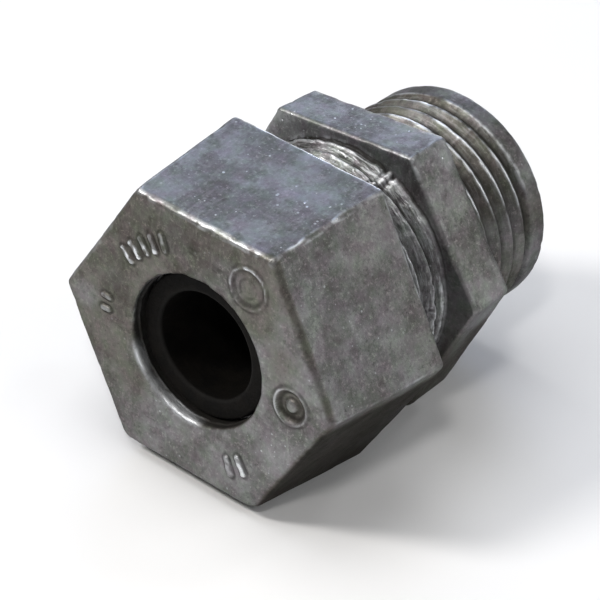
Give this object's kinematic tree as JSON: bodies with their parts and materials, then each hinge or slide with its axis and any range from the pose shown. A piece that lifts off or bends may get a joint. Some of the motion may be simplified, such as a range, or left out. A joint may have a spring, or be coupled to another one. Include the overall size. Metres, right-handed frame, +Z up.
{
  "type": "compression cord connector",
  "caption": "Die-cast compression connector for flexible cord: hexagonal gland nut, rubber sealing bushing, friction washer, and a body with a hex collar and a tapered male conduit thread.",
  "frame": {"origin": "on the axis, in the plane of the collar's rear shoulder", "axes": "+Y along the axis towards the free end of the hub, so the lip of the gland nut faces -Y; +Z up, square to the upper flat of the nut"},
  "size_m": [0.0326, 0.0362, 0.0286],
  "materials": {
    "cast_body": "tarnished die-cast, dull, fine pits",
    "cast_nut": "tarnished die-cast, dull, mottled, bright worn edges",
    "washer_steel": "zinc-plated",
    "bushing_rubber": "matt black moulded neoprene"
  },
  "bodies": {
    "connector": {"connector_body": "cast_body"},
    "seal_pack": {"sealing_bushing": "bushing_rubber", "friction_washer": "washer_steel"},
    "nut": {"gland_nut": "cast_nut"}
  },
  "joints": [
    {"name": "gland_advance", "type": "slide", "parent": "connector", "child": "seal_pack", "axis": [0, 1, 0], "range_m": [-0.0055, 0.0037]},
    {"name": "nut_turn", "type": "hinge", "parent": "seal_pack", "child": "nut", "pos_m": [0, -0.0183, 0], "axis": [0, 1, 0], "range_deg": [-1080, 720]}
  ],
  "couplings": [
    {"joint": "gland_advance", "follows": "nut_turn", "m_per_rad": 0.00028875}
  ]
}
